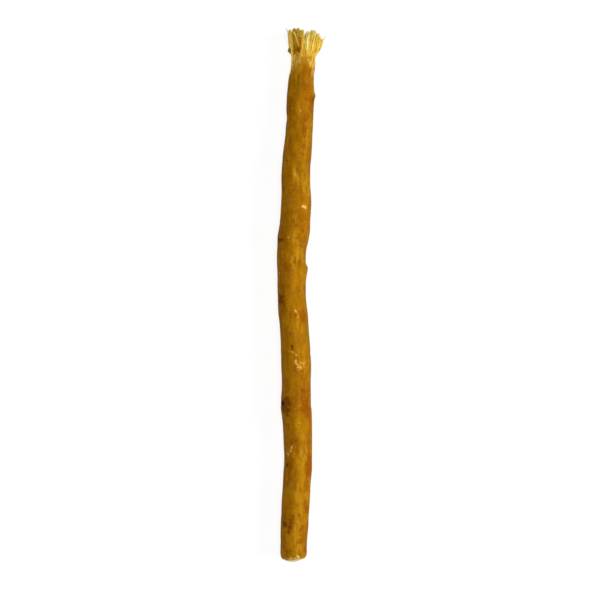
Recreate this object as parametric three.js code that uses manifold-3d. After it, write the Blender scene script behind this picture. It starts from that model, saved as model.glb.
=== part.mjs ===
// A miswak, the chewing stick used to clean teeth: one length of bark-covered wood, wavy along its
// run, cut off plainly at one end and frayed at the other into a brush of its own wood fibres.
// It lies on its side, as it would on a table. Millimetres, +Z up, the bristles towards +Y.

import * as THREE from "three";
import { mergeVertices } from "three/addons/utils/BufferGeometryUtils.js";
import Module from "manifold-3d";

const wasm = await Module();
wasm.setup();

// Driving dimensions. "Along" is the distance from the cut end towards the bristles.
const STICK_LENGTH = 150;
const CORE_END = 142.9; // where the solid wood stops and only bristles go on
const CUT_SLOPE = 0.06; // the cut rises this much for each millimetre to the right
const RING_STEP = 1.8; // spacing of the rings of vertices along the stick
const SIDES = 30;

// How the section draws in at the cut end and where the bristles begin: distance from that end,
// share of the full radius.
const CUT_END = [
  [0, 0.34],
  [0.28, 0.52],
  [0.56, 0.735],
  [0.84, 0.85],
  [1.4, 0.955],
  [2.3, 1],
];
const BRUSH_END = [
  [0, 0.78],
  [0.45, 0.9],
  [1.1, 0.97],
  [2.2, 1],
];

// The run of the stick: along, drift of its middle to the right, radius, gap between bark and table.
// A gap below zero is a place that the stick rests on, where its underside is flat.
const STATIONS = [
  [0, -0.85, 3.68, 0.6],
  [4, -0.85, 3.7, 0.5],
  [10.5, -0.55, 3.87, 0.25],
  [18.5, -0.15, 3.94, 0.0],
  [27, 0.35, 3.94, -0.12],
  [33.5, 0.4, 3.97, -0.12],
  [39, 0.2, 4.12, 0.1],
  [44, -0.15, 4.2, 0.35],
  [49, -0.05, 4.08, 0.6],
  [55.5, -0.1, 4.18, 0.7],
  [62, -0.4, 4.05, 0.5],
  [69, -0.9, 4.08, 0.15],
  [76, -1.3, 3.98, -0.12],
  [86, -1.4, 4.06, -0.12],
  [91, -0.86, 4.34, 0.05],
  [93, -0.52, 4.36, 0.15],
  [96, -0.28, 4.27, 0.35],
  [101, -0.05, 4.23, 0.6],
  [108, -0.15, 4.01, 0.7],
  [114.5, 0.3, 4.01, 0.4],
  [121, 0.8, 3.82, 0.0],
  [126.5, 1.0, 3.89, -0.12],
  [132.5, 1.3, 3.77, -0.12],
  [135.2, 1.38, 3.61, 0.0],
  [136.8, 1.52, 3.5, 0.15],
  [138.4, 1.83, 3.32, 0.35],
  [142, 1.92, 3.43, 0.4],
  [STICK_LENGTH, 2.2, 3.43, 0.45],
];

// How far the section is from round, as shares of its radius.
const OVAL = 0.03;
const OVAL_TURN = 0.022; // radians that the oval turns for each millimetre along
const THREE_SIDED = 0.016;

// Low swellings of the bark: their height, and how fast the long wave, the short wave and the side
// that the long wave is on go round, in radians for each millimetre along. The short wave has the
// stated share of the height, and the long wave the rest.
const LUMP = { height: 0.07, long: 0.41, short: 0.83, winding: 0.09, shortShare: 0.4 };

// Scars and buds: along, place round the stick in degrees from its right side towards its top,
// height (a pit is negative), length, width, and how much steeper the bristle side is.
const SCARS = [
  [82.6, 4, 0.66, 2.6, 1.5, 3],
  [44.6, 146, 0.34, 1.6, 1.7, 1],
  [44.9, 148, -0.42, 0.7, 0.8, 1],
  [43.0, -40, 0.24, 1.7, 1.8, 1],
  [73.6, 134, 0.22, 2.3, 1.6, 1.4],
  [73.0, 128, -0.2, 1.3, 0.9, 1],
  [74.2, -58, 0.3, 2.0, 1.6, 1.4],
  [131.0, 0, 0.34, 0.9, 1.1, 1],
  [124.6, 180, -0.3, 1.6, 1.8, 1],
  [112.5, -105, 0.32, 1.9, 1.7, 1.4],
  [90.6, 150, 0.16, 1.5, 1.6, 1.4],
  [14.0, -80, 0.24, 1.8, 1.5, 1.4],
];

// Joints, where leaves once grew: along, height of the swelling, its length, its slant in
// millimetres per millimetre across.
const JOINTS = [
  [42.6, 0.1, 1.1, -0.06],
  [59.6, 0.08, 0.9, 0.1],
  [91.0, 0.1, 1.6, -0.2],
];

// The brush. Bristle bundles stand in three rings in the solid wood and lean outwards from it.
// Each ring is turned on from the one outside it, by a share of the gap between two bundles.
const BUNDLE_RINGS = [
  { count: 20, reach: 2.84 },
  { count: 13, reach: 1.85 },
  { count: 6, reach: 0.8 },
];
const RING_TURN = 0.5;
const BUNDLE_ROOT = 138.9; // along, where a bundle starts inside the wood
const BUNDLE_FREE = 141.6; // along, where it begins to lean
const BUNDLE_RADIUS = 0.56;
const BUNDLE_SHARES = [0.7, 1, 1, 0.95, 0.85, 0.5]; // of that radius, ring by ring to the tip
const BUNDLE_SIDES = 6;
const BUNDLE_BEND = 0.75; // below 1 a bundle leans at once, above 1 only near its tip
const BUNDLE_WANDER = 0.2; // how far chance moves a bundle's tip sideways
const BUNDLE_SHORT = 0.7; // how much shorter chance leaves a bundle
const BUNDLE_SCATTER = 0.3; // how far chance turns a bundle on, as a share of that gap
const BUNDLE_UNEVEN = 0.12; // how much thicker or thinner chance makes a bundle, as a share

// The brush is split in two tufts that lean apart: each tuft's shift and spread across the stick.
const SPLIT = 0.1;
const LEFT_TUFT = { shift: -0.25, spread: 1.36 };
const RIGHT_TUFT = { shift: 0.15, spread: 1.7 };
const UPRIGHT_SPREAD = 1.16;

// A hollow on top of the left tuft, where outer bristles have broken away: its two sides, in
// degrees round the stick from its right side towards its top.
const HOLLOW = [98, 152];

// How far along the tips reach, by their place across the brush from its middle.
const TIP_LINE = [
  [-4.6, 149.2],
  [-3.4, 149.8],
  [-1.5, 149.8],
  [-0.8, 149.6],
  [-0.1, 148.1],
  [0.4, 148.2],
  [1.1, 148.8],
  [2.6, 149.2],
  [3.6, 148.8],
  [4.4, 148.1],
  [5.2, 147.3],
];

// Two lone splinters: place across at the root, place across and along at the tip, tip's rise. The
// root has a share of that rise.
const SPLINTERS = [
  { root: -2.6, across: -5.1, along: STICK_LENGTH, rise: 0.9 },
  { root: 2.6, across: 6.2, along: 147.7, rise: 0.6 },
];
const SPLINTER_RADIUS = 0.28;
const SPLINTER_SHARES = [1, 1, 0.95, 0.8, 0.55, 0.28];
const SPLINTER_BEND = 1.5;
const SPLINTER_ROOT_RISE = 0.8;

// A crumb of torn bark on the left of the brush.
const CRUMB = { along: 143.7, across: -3.85, rise: 0.8, halfWidth: 0.5, halfLength: 0.7 };

const BARK_COLOUR = "#a8720c";
const BARK_ROUGHNESS = 0.6;

// Repeatable chance: the same numbers each time the part is made.
function chanceFrom(seed) {
  let state = seed;
  return () => {
    state = (state * 1664525 + 1013904223) % 4294967296;
    return state / 4294967296;
  };
}

// A smooth curve through the rows of a table: column's value at x, the first column.
function smoothThrough(table, column, x) {
  const last = table.length - 1;
  let i = 0;
  while (i < last - 1 && x > table[i + 1][0]) i++;
  const slope = (k) => {
    const a = table[Math.max(k - 1, 0)];
    const b = table[Math.min(k + 1, last)];
    return (b[column] - a[column]) / (b[0] - a[0]);
  };
  const [from, to] = [table[i], table[i + 1]];
  const span = to[0] - from[0];
  const t = THREE.MathUtils.clamp((x - from[0]) / span, 0, 1);
  const rest = 1 - t;
  return (
    from[column] * (1 + 2 * t) * rest * rest +
    slope(i) * span * t * rest * rest +
    to[column] * (3 - 2 * t) * t * t -
    slope(i + 1) * span * rest * t * t
  );
}

const driftAt = (along) => smoothThrough(STATIONS, 1, along);
const radiusAt = (along) => smoothThrough(STATIONS, 2, along);
const gapAt = (along) => smoothThrough(STATIONS, 3, along);

// The section's radius as a share of the stick's: a slightly oval, slightly three-sided round
// whose width from left to right stays that of the table.
function sectionShare(along, angle) {
  const turn = OVAL_TURN * along;
  const oval = OVAL * (Math.cos(2 * (angle - turn)) - Math.cos(2 * turn));
  return 1 + oval + THREE_SIDED * Math.cos(3 * angle + turn);
}

function lumpHeight(along, angle) {
  const long = Math.sin(LUMP.long * along + Math.sin(angle)) * Math.cos(angle - LUMP.winding * along);
  const short = Math.sin(LUMP.short * along - 2 * angle);
  return LUMP.height * THREE.MathUtils.lerp(long, short, LUMP.shortShare);
}

function scarHeight(along, angle) {
  let height = 0;
  for (const [centre, degrees, rise, length, width, steep] of SCARS) {
    const ahead = (along - centre) * (along > centre ? steep : 1);
    const turn = angle - THREE.MathUtils.degToRad(degrees);
    const aside = radiusAt(along) * Math.atan2(Math.sin(turn), Math.cos(turn));
    height += rise * Math.exp(-((ahead / length) ** 2) - (aside / width) ** 2);
  }
  for (const [centre, rise, length, slant] of JOINTS) {
    const ahead = along - centre - slant * radiusAt(along) * Math.cos(angle);
    height += rise * Math.exp(-((ahead / length) ** 2));
  }
  return height;
}

// The share of the full radius that is left where the wood draws in at its two ends.
function endShare(along) {
  const fromCut = smoothThrough(CUT_END, 1, Math.min(along, CUT_END.at(-1)[0]));
  const fromBrush = smoothThrough(BRUSH_END, 1, Math.min(CORE_END - along, BRUSH_END.at(-1)[0]));
  return fromCut * fromBrush;
}

// Height of the stick's middle above the table: its underside is the stated gap above it.
function middleHeight(along) {
  const under = -Math.PI / 2;
  return radiusAt(along) * sectionShare(along, under) + gapAt(along);
}

// A point of the bark, in space. reach is 1 on the surface and 0 in the middle.
function barkPoint(along, angle, reach) {
  const round = radiusAt(along) * sectionShare(along, angle);
  const outside = round + lumpHeight(along, angle) + scarHeight(along, angle);
  const radius = outside * endShare(along) * reach;
  const across = radius * Math.cos(angle);
  const nearCut = Math.max(0, 1 - along / (2 * CUT_END.at(-1)[0]));
  return new THREE.Vector3(
    driftAt(along) + across,
    along + CUT_SLOPE * across * nearCut,
    Math.max(0, middleHeight(along) + radius * Math.sin(angle)),
  );
}

// Bends a closed cylinder of unit radius and height: place gives each vertex its point, from the
// ring it is on, its angle, and whether it is on the rim (reach 1) or in a cap's middle (reach 0).
function bentCylinder(sides, steps, place) {
  const shape = new THREE.CylinderGeometry(1, 1, 1, sides, steps);
  shape.deleteAttribute("normal");
  shape.deleteAttribute("uv");
  const points = shape.getAttribute("position");
  const at = new THREE.Vector3();
  for (let i = 0; i < points.count; i++) {
    at.fromBufferAttribute(points, i);
    const ring = Math.round((at.y + 0.5) * steps);
    const reach = Math.min(1, Math.round(Math.hypot(at.x, at.z)));
    const spot = place(ring, Math.atan2(at.z, at.x), reach);
    points.setXYZ(i, spot.x, spot.y, spot.z);
  }
  return mergeVertices(shape);
}

function solidFrom(geometry) {
  const vertProperties = geometry.getAttribute("position").array;
  const triVerts = new Uint32Array(geometry.index.array);
  return new wasm.Manifold(new wasm.Mesh({ numProp: 3, vertProperties, triVerts }));
}

// The bark-covered stick, from the cut end to where the bristles come free.
function stickSolid() {
  const [first, last] = [CUT_END.at(-1)[0], CORE_END - BRUSH_END.at(-1)[0]];
  const plain = Math.round((last - first) / RING_STEP);
  const rings = CUT_END.map(([along]) => along);
  for (let i = 1; i < plain; i++) rings.push(THREE.MathUtils.lerp(first, last, i / plain));
  for (const [back] of BRUSH_END.toReversed()) rings.push(CORE_END - back);
  return solidFrom(
    bentCylinder(SIDES, rings.length - 1, (ring, angle, reach) =>
      barkPoint(rings[ring], angle, reach),
    ),
  );
}

// A tapered, blunt bristle bundle. root and tip are its offsets across and up from the stick's
// middle; it stays straight in the wood and then leans out in a curve set by bend.
function bundleSolid(root, tip, tipAlong, { radius, shares, bend, turn }) {
  const steps = shares.length - 1;
  const place = (ring, angle, reach) => {
    const along = THREE.MathUtils.lerp(BUNDLE_ROOT, tipAlong, ring / steps);
    const free = Math.max(0, (along - BUNDLE_FREE) / (tipAlong - BUNDLE_FREE));
    const lean = free ** bend;
    const out = radius * shares[ring] * reach;
    return new THREE.Vector3(
      driftAt(along) + THREE.MathUtils.lerp(root.x, tip.x, lean) + out * Math.cos(angle + turn),
      along,
      middleHeight(along) + THREE.MathUtils.lerp(root.y, tip.y, lean) + out * Math.sin(angle + turn),
    );
  };
  return solidFrom(bentCylinder(BUNDLE_SIDES, steps, place));
}

// Where a bundle rooted at an offset ends up: in the left or the right tuft.
function splayed(root) {
  const tuft = root.x < SPLIT ? LEFT_TUFT : RIGHT_TUFT;
  return new THREE.Vector2(tuft.shift + tuft.spread * root.x, UPRIGHT_SPREAD * root.y);
}

function brokenAway(ringNumber, angle) {
  const [from, to] = HOLLOW.map((degrees) => THREE.MathUtils.degToRad(degrees));
  return ringNumber === 0 && angle > from && angle < to;
}

function brushSolids() {
  const chance = chanceFrom(7);
  const made = [];
  BUNDLE_RINGS.forEach(({ count, reach }, ringNumber) => {
    for (let i = 0; i < count; i++) {
      const place = i + RING_TURN * ringNumber + BUNDLE_SCATTER * chance();
      const angle = (place / count) * 2 * Math.PI;
      const root = new THREE.Vector2(reach * Math.cos(angle), reach * Math.sin(angle));
      const tip = splayed(root);
      tip.x += BUNDLE_WANDER * (2 * chance() - 1);
      tip.y += BUNDLE_WANDER * (2 * chance() - 1);
      const tipAlong = smoothThrough(TIP_LINE, 1, tip.x) - BUNDLE_SHORT * chance() ** 2;
      const bundle = {
        radius: BUNDLE_RADIUS * (1 + BUNDLE_UNEVEN * (2 * chance() - 1)),
        shares: BUNDLE_SHARES,
        bend: BUNDLE_BEND,
        turn: chance(),
      };
      if (!brokenAway(ringNumber, angle)) made.push(bundleSolid(root, tip, tipAlong, bundle));
    }
  });
  for (const { root, across, along, rise } of SPLINTERS) {
    const from = new THREE.Vector2(root, SPLINTER_ROOT_RISE * rise);
    const to = new THREE.Vector2(across, rise);
    const splinter = { radius: SPLINTER_RADIUS, shares: SPLINTER_SHARES, bend: SPLINTER_BEND, turn: 0 };
    made.push(bundleSolid(from, to, along, splinter));
  }
  return made;
}

function crumbSolid() {
  const ball = new THREE.IcosahedronGeometry(1, 1);
  ball.deleteAttribute("normal");
  ball.deleteAttribute("uv");
  ball.scale(CRUMB.halfWidth, CRUMB.halfLength, CRUMB.halfWidth);
  ball.translate(
    driftAt(CRUMB.along) + CRUMB.across,
    CRUMB.along,
    middleHeight(CRUMB.along) + CRUMB.rise,
  );
  return solidFrom(mergeVertices(ball));
}

function meshFrom(solid, name, colour, roughness) {
  const { vertProperties, triVerts } = solid.getMesh();
  const geometry = new THREE.BufferGeometry();
  geometry.setAttribute("position", new THREE.BufferAttribute(vertProperties, 3));
  geometry.setIndex(new THREE.BufferAttribute(triVerts, 1));
  geometry.computeVertexNormals();
  const material = new THREE.MeshStandardMaterial({ color: colour, roughness, metalness: 0 });
  const mesh = new THREE.Mesh(geometry, material);
  mesh.name = name;
  return mesh;
}

let whole = stickSolid();
for (const piece of [...brushSolids(), crumbSolid()]) whole = whole.add(piece);

const stick = meshFrom(whole, "miswak_stick", BARK_COLOUR, BARK_ROUGHNESS);

// The part's origin is on the table, under the middle of its box.
const box = new THREE.Box3().setFromObject(stick);
const middle = box.getCenter(new THREE.Vector3());
stick.position.set(-middle.x, -middle.y, -box.min.z);

const part = new THREE.Group();
part.add(stick);
export default part;
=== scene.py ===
"""A miswak: a chewing stick of bark-covered wood, frayed at one end into a brush of its own fibres.

It lies on a pale table and is seen from straight above. Lengths are in millimetres until a mesh is
made. "Along" runs from the cut end to the bristles, "across" to the right, and an angle goes round
the stick from its right side over its top.
"""

import math

import bpy
import numpy as np
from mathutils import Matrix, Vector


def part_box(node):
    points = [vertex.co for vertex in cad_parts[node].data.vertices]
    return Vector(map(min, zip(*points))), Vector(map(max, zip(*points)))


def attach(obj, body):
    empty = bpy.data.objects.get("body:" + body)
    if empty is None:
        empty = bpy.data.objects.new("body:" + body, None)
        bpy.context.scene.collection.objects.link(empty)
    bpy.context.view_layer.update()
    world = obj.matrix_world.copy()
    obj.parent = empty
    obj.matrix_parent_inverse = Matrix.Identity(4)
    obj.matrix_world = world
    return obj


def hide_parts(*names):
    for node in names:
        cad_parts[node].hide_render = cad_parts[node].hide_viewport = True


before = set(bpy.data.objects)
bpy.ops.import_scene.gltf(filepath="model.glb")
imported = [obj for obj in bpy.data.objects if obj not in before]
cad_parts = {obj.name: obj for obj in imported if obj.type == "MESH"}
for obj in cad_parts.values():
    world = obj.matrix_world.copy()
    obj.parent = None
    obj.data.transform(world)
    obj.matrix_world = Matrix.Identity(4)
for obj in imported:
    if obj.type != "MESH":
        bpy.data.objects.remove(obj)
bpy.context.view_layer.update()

MM = 0.001
STICK = "miswak_stick"
FULL_TURN, UNDERSIDE = 2 * math.pi, -math.pi / 2

# Camera, lights and table. A lamp is tilt, distance, size and power.

FRAME_WIDTH = 168.8  # how much of the table the picture spans
LENS, SENSOR = 100, 36
CLIP = (0.01, 10)  # metres
LOOK_AT = (-0.45, -1.45, 4.2)  # the middle of the picture, at the height of the stick's outline
KEY_LAMP, TOP_LAMP = (60, 1300, 850, 12.5), (0, 1300, 850, 13.9)
TABLE_SIDE, TABLE_GLOW = 3000, 0.82
TABLE_GAP = 0.02  # between the table and the stick

# The run of the stick: along, drift of its middle to the right, radius, gap between bark and table.
STICK_LENGTH = 150
STATIONS = np.array([
    (0, -0.85, 3.68, 0.6), (4, -0.85, 3.7, 0.5), (10.5, -0.55, 3.87, 0.25), (18.5, -0.15, 3.94, 0),
    (27, 0.35, 3.94, -0.12), (33.5, 0.4, 3.97, -0.12), (39, 0.2, 4.12, 0.1), (44, -0.15, 4.2, 0.35),
    (49, -0.05, 4.08, 0.6), (55.5, -0.1, 4.18, 0.7), (62, -0.4, 4.05, 0.5), (69, -0.9, 4.08, 0.15),
    (76, -1.3, 3.98, -0.12), (86, -1.4, 4.06, -0.12), (91, -0.86, 4.34, 0.05), (93, -0.52, 4.36, 0.15),
    (96, -0.28, 4.27, 0.35), (101, -0.05, 4.23, 0.6), (108, -0.15, 4.01, 0.7), (114.5, 0.3, 4.01, 0.4),
    (121, 0.8, 3.82, 0), (126.5, 1, 3.89, -0.12), (132.5, 1.3, 3.77, -0.12), (135.2, 1.38, 3.61, 0),
    (136.8, 1.52, 3.5, 0.15), (138.4, 1.83, 3.32, 0.35), (142, 1.92, 3.43, 0.4),
    (STICK_LENGTH, 2.2, 3.43, 0.45),
])
CORE_END = 142.9  # where the solid wood stops and only bristles go on
CUT_SLOPE = 0.06
# The share of the radius at places from each end.
CUT_END = np.array([(0, 0.34), (0.28, 0.52), (0.56, 0.735), (0.84, 0.85), (1.4, 0.955), (2.3, 1)])
BRUSH_END = np.array([(0, 0.78), (0.45, 0.9), (1.1, 0.97), (2.2, 1)])
OVAL, OVAL_TURN, THREE_SIDED = 0.03, 0.022, 0.016
LUMP_HEIGHT, LUMP_LONG, LUMP_SHORT, LUMP_WINDING, LUMP_SHORT_SHARE = 0.07, 0.41, 0.83, 0.09, 0.4
MEAN_RADIUS = 3.95

# Scars and buds: along, degrees round the stick, height, length, width, steepness on the far side.
SCARS = [
    (82.6, 4, 0.66, 2.6, 1.5, 3), (44.6, 146, 0.34, 1.6, 1.7, 1), (44.9, 148, -0.42, 0.7, 0.8, 1),
    (43, -40, 0.24, 1.7, 1.8, 1), (73.6, 134, 0.22, 2.3, 1.6, 1.4), (73, 128, -0.2, 1.3, 0.9, 1),
    (74.2, -58, 0.3, 2, 1.6, 1.4), (131, 0, 0.34, 0.9, 1.1, 1), (124.6, 180, -0.3, 1.6, 1.8, 1),
    (112.5, -105, 0.32, 1.9, 1.7, 1.4), (90.6, 150, 0.16, 1.5, 1.6, 1.4), (14, -80, 0.24, 1.8, 1.5, 1.4),
]
# Joints, where leaves once grew: along, height, length, slant.
JOINTS = [(42.6, 0.1, 1.1, -0.06), (59.6, 0.08, 0.9, 0.1), (91, 0.1, 1.6, -0.2)]

# The bark's skin. Chance relief is layers of height, length, width and seed; a pair is often the
# least and the most that chance gives, or where something begins and is full.

BARK_AROUND, BARK_ROWS, BARK_THICKNESS = 150, 590, 0.3
BARK_START, BARK_MEAN_END = 0.8, 140  # along, its edge at the cut end and under the brush
BARK_TORN_OVER = 9  # the rows slant towards the torn edge over this length
START_RAGGED = [(0.14, 5, 0.8, 33)]
# Where the bark is torn off under the brush: degrees round the stick, along.
TORN_EDGE = np.array([
    (0, 138.2), (20, 138.7), (42, 140.2), (57, 142), (73, 142.6), (88, 142.8), (102, 142.4), (117, 141.4),
    (134, 140.4), (149, 139.6), (170, 138), (190, 137.7), (230, 139.5), (270, 141), (310, 140.1),
    (340, 138.8), (360, 138.2),
])
TORN_TONGUES = [(0.6, 5, 0.9, 31), (0.5, 5, 0.4, 32), (0.2, 5, 0.2, 34)]
# Rows turned in at both edges to show the thickness: how far on, and how many thicknesses deep.
CUT_LIPS, TORN_LIPS = [(0.9, 1.4), (0.1, 1), (0, 0.4)], [(0.08, 0.2), (0.05, 0.6), (-1.2, 1.4)]
LIPS_SHOW = {"thinned": 1, "bared": 0.7}
WORN_OVER, WORN_DEPTH = 3, 0.1  # it wears down towards the torn edge
THINNED, THINNED_RAGGED = (-4.2, -0.2), [(1.4, 2.5, 0.45, 25)]  # from the torn edge

WRINKLES, WRINKLE_HEIGHT, WRINKLE_MEAN = [(0.5, 7, 0.7, 1), (0.5, 11, 1.3, 2)], 0.055, 0.3
SWELLS_AND_GRIT = [(0.04, 3.2, 1.9, 3), (0.015, 0.9, 0.8, 4), (0.01, 0.4, 0.35, 5)]
# Thin grooves across the bark: along, degrees at the middle, degrees to each side, depth, slant.
CREASES = [
    (59.4, 140, 38, 0.12, 0.12), (42.2, 80, 70, 0.05, -0.06), (118, 60, 40, 0.05, 0),
    (91.6, 150, 30, 0.1, -0.25), (90.3, 60, 45, 0.04, -0.15), (26, 230, 60, 0.07, 0.08),
    (104.5, 280, 50, 0.08, -0.05), (66, 320, 45, 0.06, 0.1), (12, 300, 60, 0.06, 0.05),
]
CREASE_LENGTH, CREASE_WANDER = 0.22, [(0.25, 20, 1.1, 6)]
# Short raised pores across the bark, each a lip with a slit in it.
PORES, PORE_SEED, PORE_REACH = 150, 8, 1
PORE_ALONG, PORE_HEIGHT, PORE_WIDTH = (3, 138), (0.03, 0.09), (0.22, 0.5)
LIP_LENGTH, SLIT_LENGTH, SLIT_WIDTH, SLIT_DEPTH = 0.22, 0.1, 0.7, 1.1  # the last two by the lip's
PORE_TINT = 9  # how strong a pore's colour is, by its height

# Marks on the bark seen from above: along, across, half length, half width, strength, and any lean
# of the long side to the right in degrees.
SCRAPES = [
    (99.5, 2.16, 0.46, 0.9, 1.3), (91, -1.3, 0.28, 0.6, 0.75, -30), (90.2, -0.75, 0.5, 0.16, 0.6, -20),
    (81, -3.25, 0.42, 0.2, 0.8), (70.4, 0.75, 0.75, 0.36, 0.56), (69, 0.95, 0.7, 0.4, 0.4),
    (59.3, -1.1, 0.26, 0.6, 0.55, 10), (58.7, -0.3, 0.32, 0.6, 0.68, 30), (58.2, 0.3, 0.4, 0.3, 0.5, 30),
    (56.2, 0.05, 0.85, 0.38, 0.72, -22), (54.7, 0.7, 0.9, 0.62, 0.82, -22),
    (46.1, 2.1, 0.75, 0.2, 0.42, 8), (110, -0.75, 0.7, 0.34, 0.4, -33),
    (108.6, 0.05, 1.2, 0.42, 0.5, -33), (107.2, 0.95, 0.6, 0.25, 0.35, -40),
    (104.6, -1.25, 0.3, 0.2, 0.6), (39.3, 0.68, 0.28, 0.3, 0.6), (32.3, -1.75, 0.55, 0.22, 0.85, 20),
    (31.2, -2.1, 0.6, 0.22, 0.8, 28), (30.3, -2.8, 0.3, 0.4, 0.85, 20), (136.4, -0.56, 0.25, 0.25, 0.6),
    (128.5, 2.3, 0.4, 0.25, 0.65), (127.6, 1.2, 0.4, 0.3, 0.4), (126.5, 0.3, 0.8, 0.4, 0.32, -10),
    (127, -2.4, 0.3, 0.2, 0.5), (56, 1.8, 1.2, 0.8, 0.35), (62, 1.2, 2.6, 0.3, 0.35, 32),
    (1.9, 1.35, 0.6, 0.22, 0.8, -20), (1.4, 1.9, 0.5, 0.22, 0.7, 30), (1.2, -0.4, 0.25, 0.5, 0.45),
]
STAINS = [
    (44.2, -3.1, 2.1, 1.5, 1.3), (42.3, -1.5, 0.6, 1.4, 0.4), (41.4, -2.6, 0.8, 0.7, 0.6),
    (45.9, -2.4, 0.7, 0.8, 0.5), (74, -2.9, 1.5, 1.2, 0.95), (72.2, -2.2, 1.6, 0.6, 0.6, -20),
    (70.3, -2.6, 0.9, 0.6, 0.6), (64.4, -1.1, 0.7, 0.4, 0.6), (61.9, -1.55, 0.6, 0.4, 0.6),
    (60.3, -0.7, 0.9, 0.5, 0.9), (58.7, -1.9, 1.4, 0.7, 0.4), (57, 0.5, 0.4, 0.5, 0.5),
    (90.2, -3, 0.5, 0.9, 0.9), (90.3, -3.8, 0.5, 0.8, 0.8), (88, -3.5, 1.6, 0.5, 0.6),
    (86, -3.2, 0.4, 0.3, 0.6), (84.8, -2.2, 0.5, 0.4, 0.5), (79, -2.8, 0.5, 0.3, 0.5),
    (94.2, -1, 0.35, 0.7, 0.6, -40), (93.9, 1.2, 0.35, 0.7, 0.4, 30), (98, -0.6, 0.5, 0.3, 0.35),
    (28.5, -1, 0.7, 0.4, 0.6), (27.3, -2.9, 0.5, 0.45, 0.55), (24.3, -0.8, 0.5, 0.3, 0.5),
    (22, -2.7, 0.9, 0.3, 0.6, -25), (10.7, -2.7, 1, 0.8, 1.05), (9.6, -1.4, 1.6, 0.55, 1.15, 15),
    (12.6, -0.6, 1.6, 0.45, 0.75, 15), (2.6, -1.9, 1.1, 0.35, 0.6), (38.7, 0.35, 0.35, 0.4, 0.6),
    (33.2, 0.4, 0.25, 0.3, 0.5), (33.2, 1.6, 0.25, 0.35, 0.5), (48.4, 1.4, 0.35, 0.6, 0.5),
    (46.4, 1.9, 1.3, 0.35, 0.6, -6), (44.2, 3.2, 1.6, 0.5, 0.5), (112.3, -2.6, 0.9, 0.7, 0.55, 30),
    (114.6, -1.4, 0.5, 0.4, 0.4), (105.1, 1.3, 0.4, 0.8, 0.5), (102.4, 1, 0.5, 0.5, 0.5),
    (104.8, -3.5, 1.2, 0.4, 0.7),
]
KNOTS = [
    (44.6, -3.75, 0.7, 0.55, 1.3), (60.4, -0.75, 0.45, 0.25, 0.5), (27.3, -3.1, 0.3, 0.3, 1.3),
    (90.3, -3.3, 0.3, 0.5, 0.45), (129.8, 3.5, 0.9, 0.3, 0.6), (73.2, -3.4, 0.6, 0.4, 0.4),
]
RUST = [
    (122.4, 1.6, 2.8, 0.8, 1), (120.6, 0.3, 1.8, 0.8, 0.3), (116.6, 1.8, 2, 0.5, 0.6),
    (135.6, 1, 4.6, 0.8, 0.55, -3), (131.5, 1.6, 3, 1.3, 0.35), (128.3, 3.2, 2.4, 0.9, 1.1),
    (44.8, 2.2, 2.6, 0.8, 1.4, -6), (47.8, 3.3, 4, 0.8, 0.8), (41, 3.1, 1.8, 0.8, 0.7),
    (43, 1.2, 0.8, 1.6, 0.7), (130.4, -1.9, 2, 1, 0.6), (37.5, 3.5, 3, 0.5, 0.6),
    (28, 3.2, 2.8, 0.9, 1.2), (24.3, 3, 2.6, 0.7, 1, 8), (15, 3.2, 1.3, 0.6, 1),
    (9.8, 2.4, 1, 0.4, 0.9, 20), (8.8, 1.6, 1, 0.5, 0.9, 30), (6.1, 2.3, 1.1, 0.7, 1, 30),
    (5.6, 1.1, 1.4, 0.4, 0.6, 10), (4.2, 3.1, 1.6, 0.7, 0.9), (101.5, 1.4, 1, 0.8, 0.5, 40),
    (93.2, 2.2, 2, 0.5, 0.65, -18), (91, 1.2, 1.2, 1, 0.5, 20), (84, 2, 0.7, 0.9, 0.8),
    (80, -0.7, 4, 0.9, 0.4), (76, 1.6, 2.6, 0.7, 0.5), (69.3, 2.6, 2.2, 1.2, 1), (48, 2, 1.6, 0.7, 0.5),
    (107, 0.9, 1.4, 0.9, 0.2), (97.5, 0.8, 3.5, 1.2, 0.3), (14, -1.4, 7, 0.8, 0.45),
    (24, -2.1, 5, 0.8, 0.35),
]
GREENING = [
    (138.4, -2.6, 1.6, 0.8, 0.4), (134, -1.6, 2, 1.3, 0.35), (113.5, -3.3, 2.2, 0.8, 0.7),
    (120.6, -3.2, 2.2, 0.8, 0.7), (82.4, 3.4, 1.8, 0.7, 0.7), (63.8, 3.3, 4, 0.9, 1.1),
    (133.4, 0.1, 1.2, 1, 0.35), (126, -1.6, 6, 1.4, 0.3), (31.5, -2.6, 4, 1, 0.45),
    (47.5, 0, 1.6, 1.8, 0.4), (53, -2.2, 6, 1.4, 0.35), (108, -2.6, 3, 1, 0.4), (94.5, -2, 2.4, 1.2, 0.5),
    (1.7, 0, 0.8, 3.2, 0.9),
]
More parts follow.
